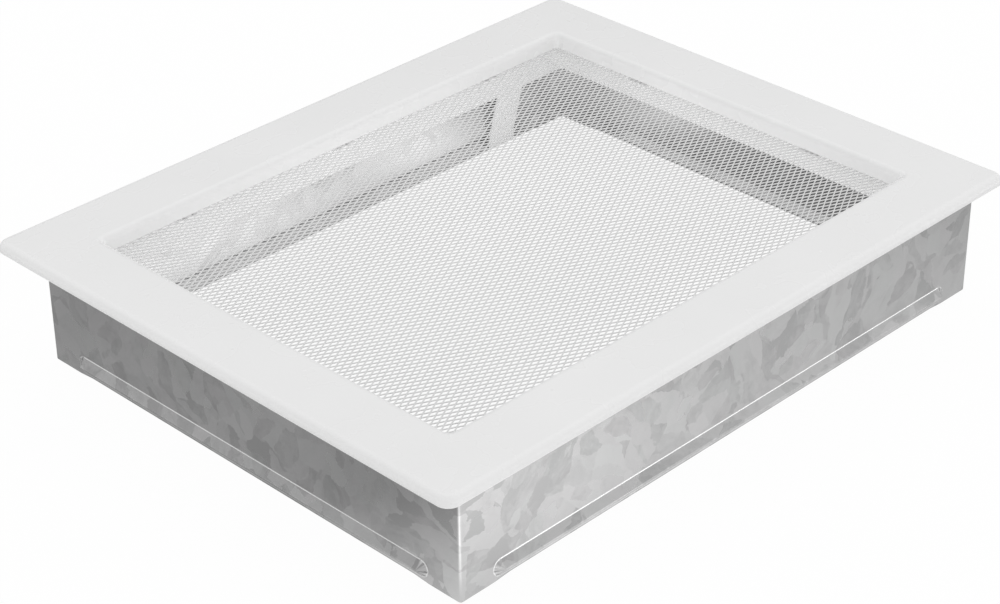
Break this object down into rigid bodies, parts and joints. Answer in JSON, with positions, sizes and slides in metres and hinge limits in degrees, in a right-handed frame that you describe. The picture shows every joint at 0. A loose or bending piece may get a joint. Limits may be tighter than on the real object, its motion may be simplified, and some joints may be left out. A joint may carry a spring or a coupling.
{
  "type": "fireplace vent grille",
  "caption": "White pressed vent front with a recessed expanded-metal mesh, held by leaf springs in a beaded galvanised wall frame that is built into a chimney breast.",
  "frame": {"origin": "under the middle of the front, on the plane of the wall frame's back edge", "axes": "+X along the long side, +Y along the short side, +Z out of the wall, through the mesh towards the room"},
  "size_m": [0.245, 0.195, 0.0414],
  "materials": {
    "white_powder_coat": "smooth satin powder coat",
    "white_mesh": "satin powder coat on expanded steel",
    "galvanised_steel": "hot-dip zinc with large spangles"
  },
  "bodies": {
    "wall_frame": {"mounting_frame": "galvanised_steel"},
    "front": {"front_frame": "white_powder_coat", "collar": "white_powder_coat", "mesh_panel": "white_mesh", "clip_rivets": "white_powder_coat", "spring_clip_front_left": "white_powder_coat", "spring_clip_front_right": "white_powder_coat", "spring_clip_back_left": "white_powder_coat", "spring_clip_back_right": "white_powder_coat"}
  },
  "joints": [
    {"name": "front_pull", "type": "slide", "parent": "wall_frame", "child": "front", "axis": [0, 0, 1], "range_m": [0, 0.04]}
  ]
}
